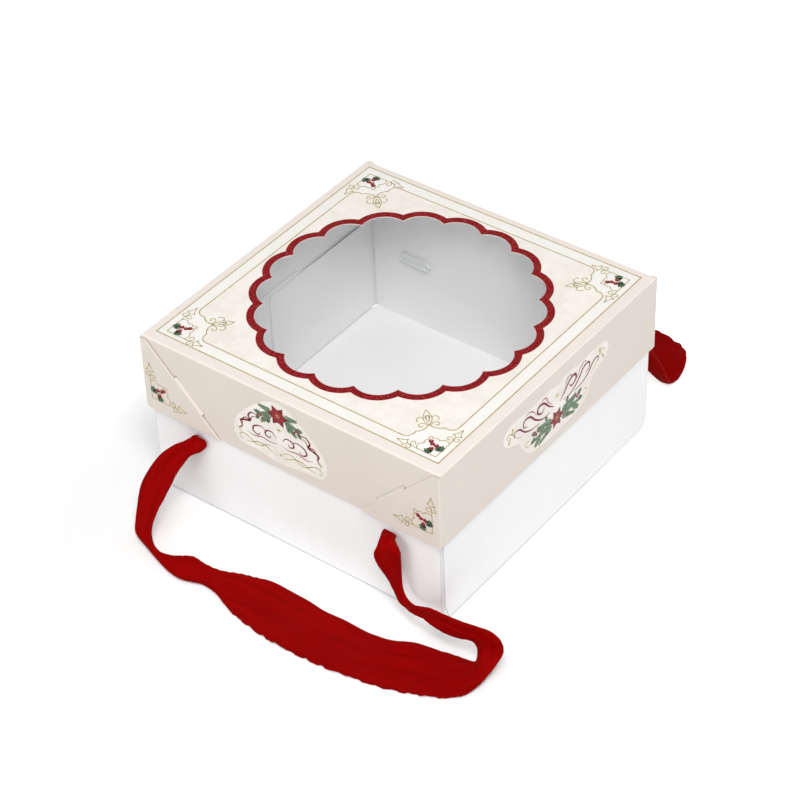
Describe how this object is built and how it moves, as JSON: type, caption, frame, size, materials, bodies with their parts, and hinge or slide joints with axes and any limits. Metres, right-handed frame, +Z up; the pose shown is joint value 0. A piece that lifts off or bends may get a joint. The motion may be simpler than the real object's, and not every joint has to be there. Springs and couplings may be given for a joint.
{
  "type": "wreath box",
  "caption": "Square folding-board gift box for a ring cake: white tray, printed telescoping lid with a scalloped film window, and satin ribbon handles.",
  "frame": {"origin": "middle of the tray's underside, on the surface that the box stands on", "axes": "+Z up; -Y is the front wall, which carries the nearer ribbon handle; +X is to the right of someone who faces the front wall"},
  "size_m": [0.3448, 0.4199, 0.131],
  "materials": {
    "white_board": "smooth coated board, matt",
    "printed_board": "satin varnished print with gold foil lines",
    "clear_film": "clear glossy film",
    "red_satin": "satin weave",
    "white_plastic": "moulded, semi-gloss"
  },
  "bodies": {
    "tray": {"base_tray": "white_board", "front_left_ribbon_end": "red_satin", "front_right_ribbon_end": "red_satin", "back_left_ribbon_end": "red_satin", "back_right_ribbon_end": "red_satin", "front_left_t_bar": "white_plastic", "front_right_t_bar": "white_plastic", "back_left_t_bar": "white_plastic", "back_right_t_bar": "white_plastic"},
    "lid": {"lid": "printed_board", "window_film": "clear_film"},
    "front_handle": {"front_ribbon": "red_satin"},
    "back_handle": {"back_ribbon": "red_satin"}
  },
  "joints": [
    {"name": "lid_lift", "type": "slide", "parent": "tray", "child": "lid", "axis": [0, 0, 1], "range_m": [0, 0.08]},
    {"name": "front_handle_swing", "type": "hinge", "parent": "tray", "child": "front_handle", "pos_m": [0, -0.1295, 0.058], "axis": [-1, 0, 0], "range_deg": [0, 90]},
    {"name": "back_handle_swing", "type": "hinge", "parent": "tray", "child": "back_handle", "pos_m": [0, 0.1295, 0.058], "axis": [1, 0, 0], "range_deg": [0, 90]}
  ]
}
